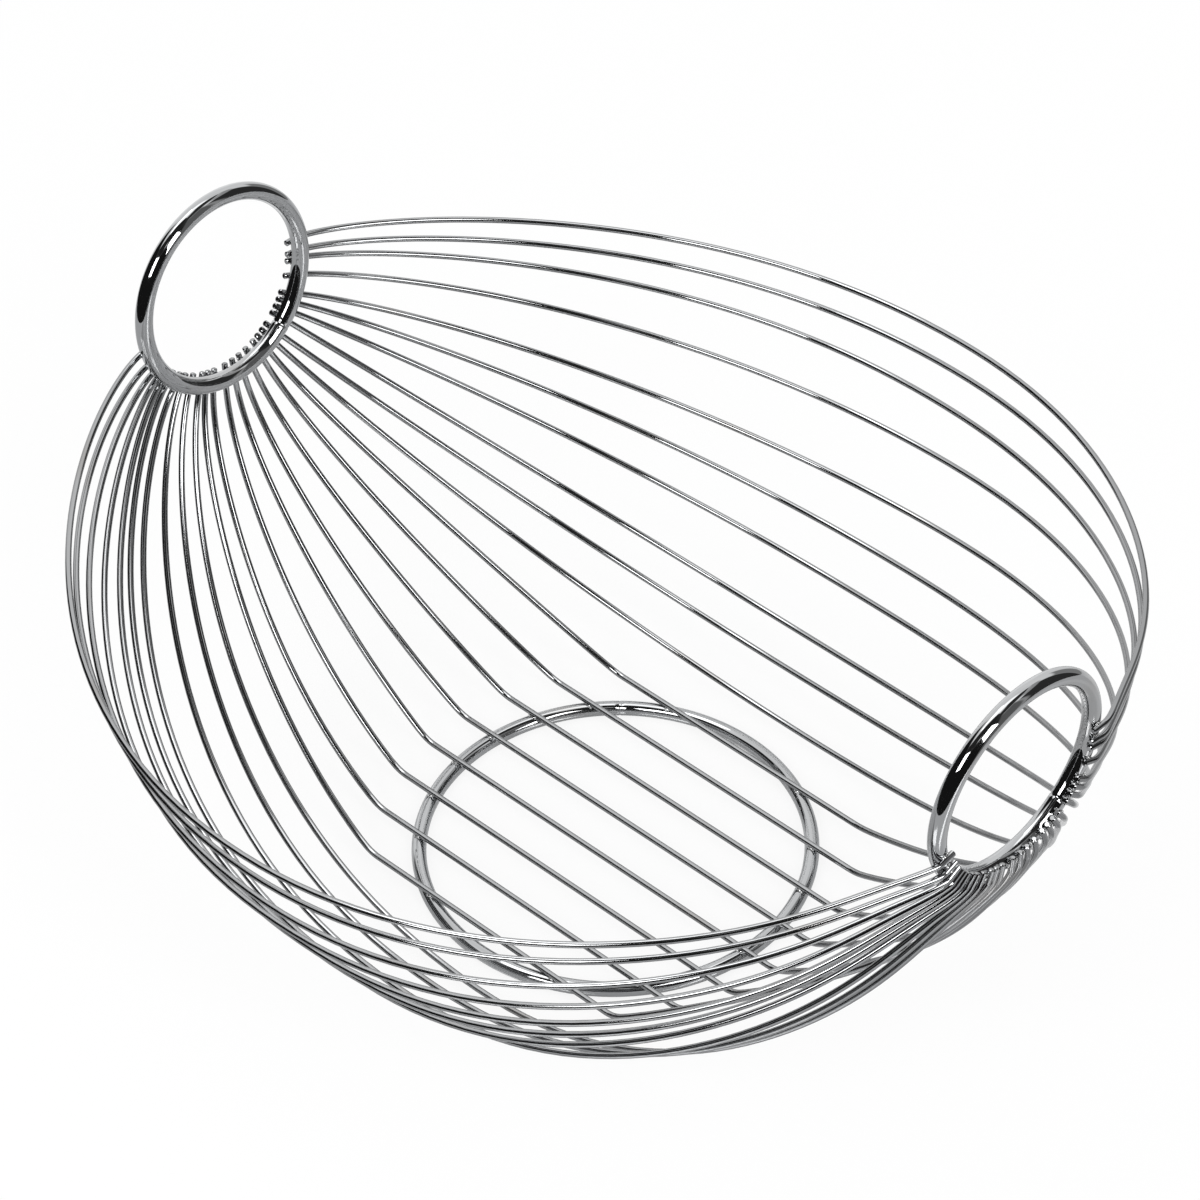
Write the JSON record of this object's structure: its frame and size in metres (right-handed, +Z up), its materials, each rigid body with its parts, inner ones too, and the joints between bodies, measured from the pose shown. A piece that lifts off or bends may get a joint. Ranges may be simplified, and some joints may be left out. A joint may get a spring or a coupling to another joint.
{
  "type": "onion basket",
  "caption": "Open boat-shaped wire basket on a round base ring, with a round handle ring at each end, for keeping onions or fruit.",
  "frame": {"origin": "under the middle of the basket, on the table plane that the base ring's underside touches", "axes": "+X along the basket from handle ring to handle ring, +Y towards the far side, +Z up"},
  "size_m": [0.358, 0.3258, 0.1845],
  "materials": {
    "handle_chrome": "polished",
    "base_chrome": "polished",
    "wire_chrome": "polished"
  },
  "bodies": {
    "root": {"handle_ring_left": "handle_chrome", "handle_ring_right": "handle_chrome", "base_ring": "base_chrome", "far_side_wire_01": "wire_chrome", "far_side_wire_02": "wire_chrome", "far_side_wire_03": "wire_chrome", "far_side_wire_04": "wire_chrome", "far_side_wire_05": "wire_chrome", "far_side_wire_06": "wire_chrome", "far_side_wire_07": "wire_chrome", "far_side_wire_08": "wire_chrome", "far_side_wire_09": "wire_chrome", "far_side_wire_10": "wire_chrome", "floor_wire_01": "wire_chrome", "floor_wire_02": "wire_chrome", "floor_wire_03": "wire_chrome", "floor_wire_04": "wire_chrome", "floor_wire_05": "wire_chrome", "floor_wire_06": "wire_chrome", "floor_wire_07": "wire_chrome", "floor_wire_08": "wire_chrome", "near_side_wire_01": "wire_chrome", "near_side_wire_02": "wire_chrome", "near_side_wire_03": "wire_chrome", "near_side_wire_04": "wire_chrome", "near_side_wire_05": "wire_chrome", "near_side_wire_06": "wire_chrome", "near_side_wire_07": "wire_chrome", "near_side_wire_08": "wire_chrome", "near_side_wire_09": "wire_chrome", "near_side_wire_10": "wire_chrome"}
  },
  "joints": []
}
